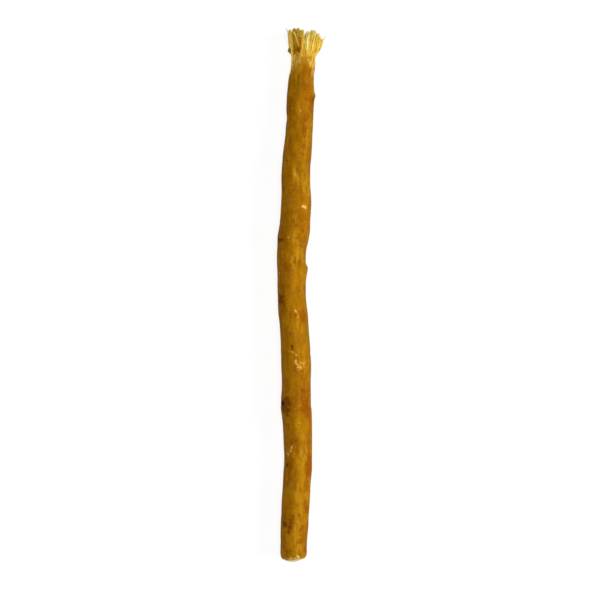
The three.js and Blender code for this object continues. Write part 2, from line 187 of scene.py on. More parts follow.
# Long soft streaks where the bark has dried paler.
FADED = [
    (139.6, -0.4, 2.2, 2.4, 1), (137.2, -2, 2.2, 1, 1.5), (119.8, 1.9, 3, 0.9, 0.9),
    (107.2, -0.6, 1.6, 0.8, 0.8), (96.7, -0.6, 1.4, 0.9, 0.9), (108.6, 0.2, 2.2, 1.1, 0.9, -20),
    (105, 1.3, 1.6, 1.2, 0.8), (105.5, 3.2, 5.5, 0.8, 0.9), (83.4, 0.6, 1.6, 0.9, 1.1),
    (78, 3.3, 4.5, 0.8, 0.8), (34.8, 3.2, 1.6, 0.7, 0.6), (34.8, 0.6, 1.8, 1, 0.9),
    (30.5, 2, 2, 0.8, 0.9), (18, 3.2, 1.6, 0.8, 1.4), (12.2, 1.7, 2, 0.8, 1.4),
    (2.8, -3.2, 1.8, 0.8, 0.8), (31, 0.9, 8, 0.9, 0.8), (20, 1, 8, 1, 0.9), (10.5, 1.1, 7, 1, 0.8),
    (4, 1.6, 2.6, 1, 0.7), (38.5, -0.4, 2.2, 1.5, 0.6), (85.5, 1.5, 4, 0.9, 0.7),
    (86.2, 3.2, 2.4, 0.7, 0.9), (80, 0.9, 8, 0.6, 0.4), (66, 1.4, 8, 1.2, 0.5), (56, 1.6, 3, 1.4, 0.6),
    (91.3, 0.6, 2.2, 1, 0.9), (112, 2, 6, 0.8, 0.4), (127.5, 1, 2.5, 1.3, 0.5),
]
# Where the bark under the brush is worn through to the pale wood.
BARED = [
    (141.1, -1.55, 1.2, 0.9, 1.4), (139, -2.4, 2, 0.6, 0.4), (142.2, 1.9, 1.7, 1.1, 1.2, 6),
    (140.6, 2.5, 1.8, 0.7, 0.85, 6), (138, 2.9, 2, 0.4, 0.8, 4), (1, 0.6, 0.45, 3.4, 1.1),
]
# Each kind's marks, seed and firmness of the edge.
MARKS = {
    "scrape": (SCRAPES, 11, 1.5),
    "stain": (STAINS, 12, 1),
    "knot": (KNOTS, 15, 1),
    "rust": (RUST, 13, 1),
    "greening": (GREENING, 14, 1),
    "faded": (FADED, 16, 1),
    "bared": (BARED, 17, 1),
}
LOWEST_ON_TOP = -0.2  # how far down the sides these go, as the sine of the angle
# Chance marks of each kind on the sides and the underside.
UNSEEN_MARKS, UNSEEN_STRENGTH = 26, 0.8
UNSEEN_ALONG, UNSEEN_ANGLE = (3, 136), (1.02 * math.pi, 1.98 * math.pi)
WARP_ALONG = [(0.32, 0.7, 0.7, 21), (0.16, 0.35, 0.35, 22)]
WARP_AROUND = [(0.26, 0.8, 0.6, 23), (0.14, 0.4, 0.35, 24)]
# A mark's strength times its breaking pattern, where it begins to show and where it is full.
MARK_SHOWS, MARK_FULL = 0.15, 0.95
RAGGED_START, RAGGED_GAIN = -0.9, 3.8

# The cut face and the peeled neck

FACE_AROUND, FACE_ROWS, RIM_ROWS = 240, 40, 30
FACE_START, FACE_SET_IN, HEART = 1.5, 0.05, 0.004
KNIFE_MARKS = [(0.07, 1.2, 1.4, 41), (0.04, 0.4, 0.5, 42)]
RAYS = [(0.3, 2.5, 0.22, 43), (0.2, 4, 0.5, 44)]
RING_GAP = 0.7  # between growth rings
NECK_AROUND, NECK_ROWS, NECK_START = 180, 110, 134
GROOVES, GROOVE_DEPTH = [(1, 6, 0.42, 51), (0.6, 9, 0.2, 52)], 0.13
NECK_BLOTCHES = [(0.1, 2.5, 0.9, 53)]

# The brush. Bristle bundles stand in three rings in the solid wood and lean outwards from it.

BUNDLE_RINGS = [(20, 2.84), (13, 1.85), (6, 0.8)]
BUNDLE_ROOT, BUNDLE_FREE = 138.9, 141.6
BUNDLE_RADIUS = 0.56
BUNDLE_SHARES = [0.7, 1, 1, 0.95, 0.85, 0.5]
BUNDLE_BEND = 0.75
RING_TURN, BUNDLE_SCATTER, BUNDLE_UNEVEN = 0.5, 0.3, 0.12
BUNDLE_WANDER, BUNDLE_SHORT, BUNDLE_SEED = 0.2, 0.7, 7
SPLIT = 0.1
LEFT_TUFT, RIGHT_TUFT = (-0.25, 1.36), (0.15, 1.7)  # each tuft's shift and spread
UPRIGHT_SPREAD = 1.16
TIP_LINE = np.array([
    (-4.6, 149.2), (-3.4, 149.8), (-1.5, 149.8), (-0.8, 149.6), (-0.1, 148.1), (0.4, 148.2), (1.1, 148.8),
    (2.6, 149.2), (3.6, 148.8), (4.4, 148.1), (5.2, 147.3),
])
HOLLOW, SCOOP_DEPTH = np.radians([98, 152]), 1  # on top of the left tuft: its sides and depth

FIBRES_PER_BUNDLE, FIBRE_RINGS, FIBRE_SIDES = 44, 15, 5
FIBRE_RADIUS, FIBRE_UNEVEN = 0.085, (0.7, 1.3)
FIBRE_BOW, FIBRE_TWIST, FIBRE_CURL, FRAY = 0.24, 1.2, 0.07, 1.1
FIBRE_WAVE = (1.2, 2.6)  # radians of its curl for each millimetre
PACKING = 1.12  # how far a bundle's fibres reach, by its radius
LONGER = 0.25  # how far a bundle's longest fibres go past it
GOLDEN_TURN = 2.4  # between a fibre and the next one round a bundle
# Some fibres are flat bands of wood: their share, and how much thicker and how flat each sort is.
BAND_SHARE, BAND, SINGLE = 0.1, (1.7, (0.35, 0.6)), (1, (0, 0.3))

# How browned the brush is, from 0 to 1, with painted shade in the hollow: region, how much, along, where
# it begins and is full.
BROWNING_AND_SHADE = [
    ("right", 0.12, 145, 142.5),
    ("middle", 0.26, 144, 142),  # the bark's brown runs in
    ("left", -0.16, 143.2, 142),
    ("right", -0.16, 146.4, 148),
    # In the hollow on top it grows browner towards the floor: partly brown stain, partly painted shade.
    ("hollow", 0.2, 148.4, 146.8),
    ("hollow", 0.12, 145.5, 143.5),
]
RIM_BROWNING = [(0.12, 2.2, 3.2), (-0.1, -2.8, -3.4)]  # the same, but across
LEFT_TONE, RIGHT_PALER, TONE_UNEVEN = 0.28, 0.24, 0.12
MIDDLE, MIDDLE_WIDTH = 0.5, 1.1  # across
# The hollow's sides, across, how its left side comes in at the tips and its right at the neck.
HOLLOW_LEFT, HOLLOW_RIGHT = -2.95, -0.35
HOLLOW_LEFT_IN, HOLLOW_RIGHT_IN = 0.7, 1.3
# Slits where the right tuft opens, with painted shade: their strands are painted olive and browner.
# Across at the tips, half width.
SHADED_SLITS = [(1.9, 0.22), (3.8, 0.18), (1.4, 0.12)]
# How much browner the slits are painted as shade; how olive the tips and the hollow's tips are.
SLIT_SHADE, OLIVE_TIPS, OLIVE_HOLLOW = 0.12, 0.45, 0.6

# Lone splinters: across at the root, across and along at the tip, rise.
SPLINTERS = [(-2.6, -5.1, STICK_LENGTH, 0.9), (2.6, 6.2, 147.7, 0.6)]
SPLINTER_RADIUS = 0.28
SPLINTER_SHARES = [1, 1, 0.95, 0.8, 0.55, 0.28]
SPLINTER_BEND, SPLINTER_ROOT_RISE = 1.5, 0.8
SPLINTER_TONE, SPLINTER_OLIVE = 0.36, 0.9
# Strands that lie slantwise over the hollow: across and rise at the root, across, along and rise at
# the tip, and how browned they are.
STRAYS = [
    (-0.2, 2, -3.3, 148, 2.6, 0.5), (-0.6, 1.9, -3.2, 147.2, 2.6, 0.56), (0.2, 1, -2.9, 148.6, 3.1, 0.16),
    (0.1, 0.9, -2.2, 147.6, 3.1, 0.3), (-0.3, 2.2, -0.9, 147.8, 3.1, 0.52),
]
STRAND_FIBRES = 7
SLIVERS_PER_BUNDLE, SLIVER_RADIUS = 3, (0.1, 0.24)
HAIRS, HAIR_RADIUS, HAIR_RINGS = 260, 0.03, 14
SHREDS, SHRED_RADIUS, SHRED_RINGS = 90, (0.022, 0.045), 9
SHRED_TONES = {"thinned": (0.6, 0.4), "bared": (0.3, 0.7)}  # at the root, and how much more at most

CRUMB_ALONG, CRUMB_ACROSS, CRUMB_RISE = 143.7, -3.85, 0.8
CRUMB_HALF_WIDTH, CRUMB_HALF_LENGTH = 0.5, 0.7
CRUMB_ROWS, CRUMB_AROUND = 22, 28

# Colours as the eye names them, sRGB

BARK_SHADE, BARK_OCHRE, BARK_GOLD, BARK_LIGHT = "#784a01", "#966002", "#a87104", "#bb8612"
RUST_BROWN, STAIN_BROWN, KNOT_BLACK = "#8c4a01", "#642f01", "#240600"
GREEN_OLIVE, BAST_TAN, SCUFF_BEIGE = "#7e6308", "#bd8a26", "#b98840"
SCRAPED_INNER_BARK = "#e4b058"
STRAW_PALE, STRAW_YELLOW, STRAW_OLIVE, STRAW_DULL = "#f5e084", "#eeca4a", "#ceb638", "#cda24a"
WOOD_TAN, WOOD_AMBER, WOOD_BROWN, WOOD_DARK = "#d4a23a", "#bd840c", "#985d02", "#4a2602"
CUT_PALE, CUT_STRAW, CUT_TAN, CUT_BROWN = "#f4e2a6", "#e6c473", "#c79a4a", "#8a5a1a"
CRUMB_OLIVE, CRUMB_BLACK = "#857a26", "#4f4714"
FROSTED_GLASS, WHITE = "#7c7c7c", "#ffffff"
FROSTED_ROUGHNESS = 0.9
PATTERN_ROUGHNESS, BUMP_STRENGTH = 0.55, 0.5


def linear(hex_colour):
    """An sRGB hex colour as the linear RGBA that a shader takes."""
    values = [int(hex_colour[i : i + 2], 16) / 255 for i in (1, 3, 5)]
    return [v / 12.92 if v <= 0.04045 else ((v + 0.055) / 1.055) ** 2.4 for v in values] + [1]


def ease(low, high, x):
    """0 below low, 1 above high, and smooth between them; the other way round if low is above."""
    t = np.clip((x - low) / (high - low), 0, 1)
    return t * t * (3 - 2 * t)


def swell(ahead, length, aside=0, width=1):
    """A smooth bump: 1 in its middle, and fading over this length and width."""
    return np.exp(-((ahead / length) ** 2) - (aside / width) ** 2)


def smooth_through(table, column, x):
    """A smooth curve through the rows of a table: the column's value at x, the first column."""
    knots, values = table[:, 0], table[:, column]
    last = len(knots) - 1
    before = np.maximum(np.arange(last + 1) - 1, 0)
    after = np.minimum(np.arange(last + 1) + 1, last)
    slopes = (values[after] - values[before]) / (knots[after] - knots[before])
    i = np.clip(np.searchsorted(knots, x) - 1, 0, last - 1)
    span = knots[i + 1] - knots[i]
    t = np.clip((x - knots[i]) / span, 0, 1)
    rest = 1 - t
    return (
        values[i] * (1 + 2 * t) * rest**2
        + slopes[i] * span * t * rest**2
        + values[i + 1] * (3 - 2 * t) * t**2
        - slopes[i + 1] * span * rest * t**2
    )


def mottle(along, angle, length, width, seed):
    """Soft random patches from -1 to 1, this long and wide, that close up all round the stick."""
    columns = max(3, round(FULL_TURN * MEAN_RADIUS / width))
    rows = int(STICK_LENGTH / length) + 4
    heights = np.random.default_rng(seed).uniform(-1, 1, (rows, columns))
    u = np.clip(along / length + 1, 0, rows - 1.001)
    v = (angle / FULL_TURN * columns) % columns
    i, j = np.floor(u).astype(int), np.floor(v).astype(int) % columns
    fu, fv = ease(0, 1, u - np.floor(u)), ease(0, 1, v - np.floor(v))
    k = (j + 1) % columns
    low = heights[i, j] * (1 - fv) + heights[i, k] * fv
    high = heights[i + 1, j] * (1 - fv) + heights[i + 1, k] * fv
    return low * (1 - fu) + high * fu


def layered(layers, along, angle, ridged=False):
    """The sum of layers of mottle; ridged ones fold up at 0."""
    total = 0
    for height, length, width, seed in layers:
        patch = mottle(along, angle, length, width, seed)
        total = total + height * (np.abs(patch) if ridged else patch)
    return total


def turned(angle, centre):
    """How far an angle is from another one, the short way round."""
    return (angle - centre + math.pi) % FULL_TURN - math.pi


# The stick's form, the same as the solid's


def drift_at(along):
    return smooth_through(STATIONS, 1, along)


def radius_at(along):
    return smooth_through(STATIONS, 2, along)


def section_share(along, angle):
    """How far out the section reaches, by its radius: it is a little oval and three-sided."""
    turn = OVAL_TURN * along
    oval = OVAL * (np.cos(2 * (angle - turn)) - np.cos(2 * turn))
    return 1 + oval + THREE_SIDED * np.cos(3 * angle + turn)


def bark_form(along, angle):
    """The bark's distance from the stick's middle, in its main shape."""
    radius = radius_at(along)
    long = np.sin(LUMP_LONG * along + np.sin(angle)) * np.cos(angle - LUMP_WINDING * along)
    short = np.sin(LUMP_SHORT * along - 2 * angle)
    lumps = (1 - LUMP_SHORT_SHARE) * long + LUMP_SHORT_SHARE * short
    form = radius * section_share(along, angle) + LUMP_HEIGHT * lumps
    for centre, degrees, rise, length, width, steep in SCARS:
        ahead = (along - centre) * np.where(along > centre, steep, 1)
        aside = radius * turned(angle, math.radians(degrees))
        form = form + rise * swell(ahead, length, aside, width)
    for centre, rise, length, slant in JOINTS:
        form = form + rise * swell(along - centre - slant * radius * np.cos(angle), length)
    return form


def end_share(along):
    """The share of the full radius that is left where the wood draws in at its two ends."""
    from_cut = smooth_through(CUT_END, 1, np.minimum(along, CUT_END[-1, 0]))
    from_brush = smooth_through(BRUSH_END, 1, np.minimum(CORE_END - along, BRUSH_END[-1, 0]))
    return from_cut * from_brush


def wood_form(along, angle, relief=0):
    """The same with some relief on it, and drawn in at the wood's two ends and on past them."""
    return (bark_form(along, angle) + relief) * end_share(np.minimum(along, CORE_END))


def middle_at(along):
    """The stick's middle, across and up from the table."""
    up = radius_at(along) * section_share(along, UNDERSIDE) + smooth_through(STATIONS, 3, along)
    return np.array([drift_at(along), up])


# The solid's box tells where the stick is: the left splinter's tip is its far end, and the right
# splinter's tip its right side.
stick_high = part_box(STICK)[1]
_, right_tip, right_end, _ = SPLINTERS[1]
right_reach = drift_at(right_end) + right_tip + SPLINTER_RADIUS * SPLINTER_SHARES[-1]
SHIFT = (stick_high.x / MM - right_reach, stick_high.y / MM - STICK_LENGTH)


def placed(section, along):
    """Points on the table's own axes, in metres, from places across and up in the stick's section."""
    across, up = section
    return np.stack([across + SHIFT[0], along + SHIFT[1], np.maximum(up, 0)], -1) * MM


def outwards(angle):
    """One millimetre across and up at an angle."""
    return np.array([np.cos(angle), np.sin(angle)])


def on_stick(along, angle, radius):
    """Points at a distance from the stick's middle."""
    out = radius * outwards(angle)
    near_cut = np.maximum(0, 1 - along / (2 * CUT_END[-1, 0]))
    return placed(middle_at(along) + out, along + CUT_SLOPE * out[0] * near_cut)


# Meshes


def in_scene(name, data):
    """A new object for a mesh, a lamp or a camera."""
    made = bpy.data.objects.new(name, data)
    bpy.context.collection.objects.link(made)
    return made


def piece_from(name, points, faces, material, values=None):
    """A smooth mesh piece that stands for the stick and rides with it; values are its attributes."""
    mesh = bpy.data.meshes.new(name)
    mesh.from_pydata(points.reshape(-1, 3), [], faces)
    mesh.validate()
    for attribute, numbers in (values or {}).items():
        mesh.attributes.new(attribute, "FLOAT", "POINT").data.foreach_set("value", numbers.ravel())
    mesh.shade_smooth()
    mesh.materials.append(material)
    piece = in_scene(name, mesh)
    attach(piece, "root")
    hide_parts(STICK)


def rings(places, around):
    """Places along a tube against the angles round it, as two grids of one shape."""
    angle = np.linspace(0, FULL_TURN, around, endpoint=False)
    return np.meshgrid(places, angle, indexing="ij")


def tube_faces(rows, columns, first=0, near_cap=True, far_cap=True):
    """Faces over rings of points, facing out, with a cap at each end where it is wanted."""
    i, j = np.meshgrid(np.arange(rows - 1), np.arange(columns), indexing="ij")
    k = (j + 1) % columns
    here, beyond = i * columns + first, (i + 1) * columns + first
    quads = np.stack([here + j, beyond + j, beyond + k, here + k], -1)
    faces = quads.reshape(-1, 4).tolist()
    if near_cap:
        faces.append(list(range(first, first + columns)))
    if far_cap:
        last = first + (rows - 1) * columns
        faces.append(list(range(last + columns - 1, last - 1, -1)))
    return faces


def strand_mesh(strands):
    """One mesh of many tapered strands. Each is (spine points [n, 3], radii [n], flatness, turn)."""
    points, faces = [], []
    count = 0
    angle = np.linspace(0, FULL_TURN, FIBRE_SIDES, endpoint=False)
    for spine, radii, flatness, turn in strands:
        across = radii[:, None] * np.cos(angle) * (1 + flatness)
        up = radii[:, None] * np.sin(angle) * (1 - flatness)
        ring = np.stack([
            across * math.cos(turn) - up * math.sin(turn),
            np.zeros_like(across),
            across * math.sin(turn) + up * math.cos(turn),
        ], -1)
        points.append((spine[:, None, :] + ring * MM).reshape(-1, 3))
        faces += tube_faces(len(spine), FIBRE_SIDES, first=count)
        count += len(spine) * FIBRE_SIDES
    points = np.concatenate(points)
    points[:, 2] = np.maximum(points[:, 2], 0)  # the lowest fibres lie flat on the table
    return points, faces


def per_point(strands, numbers):
    """One number a strand, or one a ring, spread over the points that strand_mesh makes."""
    spread = []
    for (spine, *_), number in zip(strands, numbers):
        spread.append(np.repeat(np.broadcast_to(number, len(spine)), FIBRE_SIDES))
    return np.concatenate(spread)


def wooden_piece(name, toned_strands, material):
    """A piece of wooden strands, each with its tone: how browned it is, with painted shade in the hollow
    and the slits, and how olive.
    """
    strands, tones = zip(*toned_strands)
    points, faces = strand_mesh(strands)
    values = {
        "browning_and_shade": per_point(strands, [brown for brown, _ in tones]),
        "olive": per_point(strands, [olive for _, olive in tones]),
    }
    piece_from(name, points, faces, material, values)


# Materials


def fill(tree, node, inputs):
    """Sets a node's inputs, to values or to other nodes' outputs."""
    for name, value in inputs.items():
        if isinstance(value, bpy.types.NodeSocket):
            tree.links.new(value, node.inputs[name])
        else:
            node.inputs[name].default_value = value


def add(tree, kind, settings=None, inputs=None):
    """Adds a node with its settings and inputs."""
    made = tree.nodes.new(kind)
    for name, value in (settings or {}).items():
        setattr(made, name, value)
    fill(tree, made, inputs or {})
    return made


def new_finish(name):
    """A new material, its nodes, its surface shader and the coordinates that its patterns lie in."""
    material = bpy.data.materials.new(name)
    material.use_nodes = True
    tree = material.node_tree
    place = add(tree, "ShaderNodeTexCoord").outputs["Object"]
    return material, tree, tree.nodes["Principled BSDF"], place


def patches(tree, place, width, stretch=1, detail=3):
    """Random patches from 0 to 1, this many millimetres wide and stretch times as long."""
    drawn_out = add(tree, "ShaderNodeMapping", inputs={0: place, "Scale": (1, 1 / stretch, 1)})
    values = {
        "Vector": drawn_out.outputs[0],
        "Scale": 1 / (width * MM),
        "Detail": detail,
        "Roughness": PATTERN_ROUGHNESS,
    }
    return add(tree, "ShaderNodeTexNoise", inputs=values).outputs["Fac"]


def blended(tree, start, *parts):
    """One tone from several patterns: start plus each pattern times its weight."""
    tone = start
    for pattern, weight in parts:
        sum_of = {0: pattern, 1: weight, 2: tone}
        tone = add(tree, "ShaderNodeMath", {"operation": "MULTIPLY_ADD"}, sum_of).outputs[0]
    return tone


def shaded(tree, tone, stops):
    """A tone as a colour, through stops of (tone, sRGB hex)."""
    ramp = add(tree, "ShaderNodeValToRGB", inputs={0: tone})
    elements = ramp.color_ramp.elements
    while len(elements) < len(stops):
        elements.new(0.5)
    for element, (at, colour) in zip(elements, stops):
        element.position = at
        element.color = linear(colour)
    return ramp.outputs["Color"]


def laid_over(tree, base, colour, most, amount, low, high):
    """The base with a colour over it: none where the amount is low, and at most this much at high."""
    spread = {"Value": amount, "From Min": low, "From Max": high, "To Min": 0, "To Max": most}
    share = add(tree, "ShaderNodeMapRange", {"interpolation_type": "SMOOTHSTEP"}, spread).outputs[0]
    mixed = {"Factor": share, 6: base, 7: linear(colour)}
    return add(tree, "ShaderNodeMix", {"data_type": "RGBA"}, mixed).outputs[2]


def marked(tree, base, colour, most, broken_by, kind):
    """The base with a kind of mark on it, whose edges a pattern breaks up."""
    strength = add(tree, "ShaderNodeAttribute", {"attribute_name": kind}).outputs["Fac"]
    ragged = blended(tree, RAGGED_START, (broken_by, RAGGED_GAIN))
    amount = add(tree, "ShaderNodeMath", {"operation": "MULTIPLY"}, {0: strength, 1: ragged}).outputs[0]
    return laid_over(tree, base, colour, most, amount, MARK_SHOWS, MARK_FULL)


def finished(tree, surface, colour, relief, height, roughness, gloss):
    """Gives the surface its colour, its relief of this height in millimetres, and its gloss."""
    raised = {"Strength": BUMP_STRENGTH, "Distance": height * MM, "Height": relief}
    bump = add(tree, "ShaderNodeBump", inputs=raised).outputs[0]
    looks = {"Base Color": colour, "Normal": bump, "Roughness": roughness, "Specular IOR Level": gloss}
    fill(tree, surface, looks)


def dried_bark():
    """Thin root bark, dried with its skin on: dull, waxy ochre, clouded, mottled and gritty. It is
    rusty, green or brown where it weathered, and pale where it was scraped or worn thin."""
    material, tree, surface, place = new_finish("dried_bark")
    clouds = patches(tree, place, width=2.4, stretch=1.6, detail=2)
    streaks = patches(tree, place, width=1.2, stretch=4.5, detail=2)
    mottling = patches(tree, place, width=0.75, stretch=1.2)
    grit = patches(tree, place, width=0.3, stretch=1.1)
    bast = patches(tree, place, width=0.35, stretch=8)
    # Real bast threads are about 0.03 mm wide; these are drawn five times as wide to be seen.
    threads = patches(tree, place, width=0.15, stretch=14, detail=2)
    tone = blended(
        tree, 0.03, (clouds, 0.35), (streaks, 0.27), (mottling, 0.13), (grit, 0.12), (threads, 0.06)
    )
    stops = [(0.34, BARK_SHADE), (0.47, BARK_OCHRE), (0.57, BARK_GOLD), (0.74, BARK_LIGHT)]
    colour = shaded(tree, tone, stops)
    weather = patches(tree, place, width=3.5, stretch=2.2)
    tint = patches(tree, place, width=1.3, stretch=2.8, detail=2)
    blots = patches(tree, place, width=0.8, stretch=0.9, detail=2)
    specks = patches(tree, place, width=0.42, stretch=0.8, detail=1)
    scuffs = patches(tree, place, width=1.3, stretch=1.5, detail=2)
    # What lies over it, in turn: colour, how much at most, pattern, and where in the pattern it
    # begins and is full, or else the kind of mark that the pattern breaks up.
    for over, most, pattern, where in [
        (BARK_LIGHT, 0.6, streaks, "faded"),
        (GREEN_OLIVE, 0.3, weather, (0.54, 0.72)),
        (RUST_BROWN, 0.3, weather, (0.46, 0.28)),
        (GREEN_OLIVE, 0.2, tint, (0.54, 0.66)),
        (RUST_BROWN, 0.25, tint, (0.46, 0.34)),
        (GREEN_OLIVE, 0.55, mottling, "greening"),
        (RUST_BROWN, 0.85, mottling, "rust"),
        (BARK_LIGHT, 0.5, grit, "pore"),
        (STAIN_BROWN, 0.4, blots, (0.6, 0.72)),
        (STAIN_BROWN, 0.6, specks, (0.67, 0.78)),
        (SCUFF_BEIGE, 0.25, scuffs, (0.42, 0.28)),
        (BAST_TAN, 0.8, bast, "thinned"),
        (STRAW_DULL, 0.85, bast, "bared"),
        (STAIN_BROWN, 0.8, mottling, "stain"),
        (KNOT_BLACK, 0.9, grit, "knot"),
        (SCRAPED_INNER_BARK, 0.95, mottling, "scrape"),
    ]:
        if isinstance(where, str):
            colour = marked(tree, colour, over, most, pattern, where)
        else:
            colour = laid_over(tree, colour, over, most, pattern, *where)
    relief = blended(tree, 0, (streaks, 0.4), (mottling, 0.5), (bast, 0.4), (grit, 0.5), (threads, 0.5))
    finished(tree, surface, colour, relief, height=0.12, roughness=0.64, gloss=0.02)
    return material


def frayed_wood():
    """Soft fibrous root wood, split into bristles by chewing: matt straw that browns where it has been
    wet and turns olive at some tips, with a grain that runs along every fibre. Its browner and olive
    tones also hold painted shade in the brush's hollow, its slits and the neck's scoop."""
    material, tree, surface, place = new_finish("frayed_wood")
    grain = patches(tree, place, width=0.16, stretch=14)
    blotches = patches(tree, place, width=0.9, stretch=2.5)
    browning_and_shade = add(tree, "ShaderNodeAttribute", {"attribute_name": "browning_and_shade"}).outputs["Fac"]
    tone = blended(tree, -0.27, (grain, 0.3), (blotches, 0.24), (browning_and_shade, 1))
    stops = [
        (0.02, STRAW_PALE), (0.24, STRAW_YELLOW), (0.42, WOOD_TAN), (0.58, WOOD_AMBER),
        (0.76, WOOD_BROWN), (1, WOOD_DARK),
    ]
    colour = marked(tree, shaded(tree, tone, stops), STRAW_OLIVE, 0.85, grain, "olive")
    finished(tree, surface, colour, grain, height=0.04, roughness=0.75, gloss=0.06)
    return material


def cut_wood():
    """End grain of the same wood, pared with a knife: pale, matt and spongy, with fine open pores,
    faint rays and rings, and brown at its heart and where it meets the bark."""
    material, tree, surface, place = new_finish("cut_wood")
    vessels = patches(tree, place, width=0.17, detail=1)
    blotches = patches(tree, place, width=1.3)
    from_heart = add(tree, "ShaderNodeAttribute", {"attribute_name": "from_heart"}).outputs["Fac"]
    rays = add(tree, "ShaderNodeAttribute", {"attribute_name": "rays"}).outputs["Fac"]
    turns = blended(tree, 0, (blotches, 2.2), (from_heart, FULL_TURN / RING_GAP))
    growth = add(tree, "ShaderNodeMath", {"operation": "SINE"}, {0: turns}).outputs[0]
    tone = blended(tree, 0.25, (growth, 0.035), (rays, 0.1), (vessels, 0.4), (blotches, 0.4))
    colour = shaded(tree, tone, [(0.45, CUT_TAN), (0.62, CUT_STRAW), (0.85, CUT_PALE)])
    colour = laid_over(tree, colour, CUT_BROWN, 0.6, vessels, 0.34, 0.24)
    colour = laid_over(tree, colour, CUT_BROWN, 0.25, from_heart, 2.6, 2.95)
    colour = laid_over(tree, colour, CUT_BROWN, 0.6, from_heart, 0.5, 0.2)
    relief = blended(tree, 0, (vessels, 1), (rays, 0.3))
    finished(tree, surface, colour, relief, height=0.06, roughness=0.75, gloss=0.3)
    return material


def bark_crumb():
    """A crumb of torn bark, dark olive and crusty."""
    material, tree, surface, place = new_finish("bark_crumb")
    crust = patches(tree, place, width=0.3)
    colour = shaded(tree, crust, [(0.35, CRUMB_BLACK), (0.65, CRUMB_OLIVE)])
    finished(tree, surface, colour, crust, height=0.05, roughness=0.8, gloss=0.2)
    return material


# The stick's pieces


def torn_edge(angle):
    """Where the bark ends under the brush, ragged from fibre to fibre."""
    edge = smooth_through(TORN_EDGE, 1, np.degrees(angle) % 360)
    return edge + layered(TORN_TONGUES, 0 * angle, angle)


def pore_places():
    """Chance places of the bark's pores: along, angle, height and half width."""
    chance = np.random.default_rng(PORE_SEED)
    for _ in range(PORES):
        yield [chance.uniform(*span) for span in (PORE_ALONG, (0, FULL_TURN), PORE_HEIGHT, PORE_WIDTH)]


def pore_relief(along, angle):
    """The pores' raised lips and the slits in them, as heights, and how strong their colour is."""
    relief, tint = np.zeros_like(along), np.zeros_like(along)
    for centre, at, height, width in pore_places():
        rows = np.abs(along[:, 0] - centre) < PORE_REACH
        ahead = along[rows] - centre
        aside = MEAN_RADIUS * turned(angle[rows], at)
        lip = swell(ahead, LIP_LENGTH, aside, width)
        slit = swell(ahead, SLIT_LENGTH, aside, SLIT_WIDTH * width)
        relief[rows] += height * (lip - SLIT_DEPTH * slit)
        tint[rows] += PORE_TINT * height * lip
    return relief, tint


def bark_relief(along, angle):
    """Fine height of the bark: long wrinkles, low swells, grit, creases and pores."""
    relief = WRINKLE_HEIGHT * (layered(WRINKLES, along, angle, ridged=True) - WRINKLE_MEAN)
    relief += layered(SWELLS_AND_GRIT, along, angle) + pore_relief(along, angle)[0]
    wander = layered(CREASE_WANDER, along, angle)
    for centre, degrees, side, depth, slant in CREASES:
        ahead = along - centre - slant * MEAN_RADIUS * np.cos(angle) - wander
        aside = np.abs(turned(angle, math.radians(degrees)))
        relief -= depth * swell(ahead, CREASE_LENGTH) * ease(math.radians(side), 0, aside)
    return relief


def painted(kind, along, angle):
    """How strong a kind of mark is at each point: the listed ones on top, chance ones elsewhere."""
    marks, seed, firm = MARKS[kind]
    warp = layered(WARP_ALONG, along, angle), layered(WARP_AROUND, along, angle) / MEAN_RADIUS
    along, angle = along + warp[0], angle + warp[1]
    across = radius_at(along) * np.cos(angle)
    on_top = np.sin(angle) > LOWEST_ON_TOP
    total = 0
    for centre, middle, half_length, half_width, strength, *lean in marks:
        tilt = math.radians(*lean or [0])
        ahead, aside = along - centre, across - middle
        long = (ahead * math.cos(tilt) + aside * math.sin(tilt)) / half_length
        wide = (aside * math.cos(tilt) - ahead * math.sin(tilt)) / half_width
        total = total + strength * np.exp(-((long**2 + wide**2) ** firm)) * on_top
    chance = np.random.default_rng(seed)
    for _ in range(UNSEEN_MARKS):
        half_length, half_width, strength = marks[chance.integers(len(marks))][2:5]
        long = (along - chance.uniform(*UNSEEN_ALONG)) / half_length
        wide = MEAN_RADIUS * turned(angle, chance.uniform(*UNSEEN_ANGLE)) / half_width
        total = total + UNSEEN_STRENGTH * strength * np.exp(-((long**2 + wide**2) ** firm))
    return total


def make_bark(material):
    """The bark as a skin of its own, from the rim of the cut end to the torn edge at the brush."""
    share, angle = rings(np.linspace(0, 1, BARK_ROWS), BARK_AROUND)
    start, edge = BARK_START + layered(START_RAGGED, 0 * angle, angle), torn_edge(angle)
    straight = start + (BARK_MEAN_END - start) * share
    slanted = ease(BARK_MEAN_END - BARK_TORN_OVER, BARK_MEAN_END, straight)
    along = straight + (edge - BARK_MEAN_END) * slanted
    outside = wood_form(along, angle, bark_relief(along, angle))
    outside = outside - WORN_DEPTH * ease(edge - WORN_OVER, edge, along)

    def lips(row, places):
        for on, thicknesses in places:
            drop = thicknesses * BARK_THICKNESS
            yield on_stick(along[row] + on, angle[row], outside[row] - drop)[None]

    skin = on_stick(along, angle, outside)
    points = np.concatenate([*lips(0, CUT_LIPS), skin, *lips(-1, TORN_LIPS)])
    ragged = along + layered(THINNED_RAGGED, along, angle)
    values = {kind: painted(kind, along, angle) for kind in MARKS}
    values["thinned"] = ease(edge + THINNED[0], edge + THINNED[1], ragged)
    values["pore"] = pore_relief(along, angle)[1]
    at_lips = (len(CUT_LIPS), len(TORN_LIPS)), (0, 0)
    values = {kind: np.pad(strength, at_lips, "edge") for kind, strength in values.items()}
    for kind, strength in LIPS_SHOW.items():
        values[kind][: len(CUT_LIPS)] = values[kind][-len(TORN_LIPS) :] = strength
    faces = tube_faces(len(points), BARK_AROUND, near_cap=False, far_cap=False)
    piece_from("bark", points, faces, material, values)


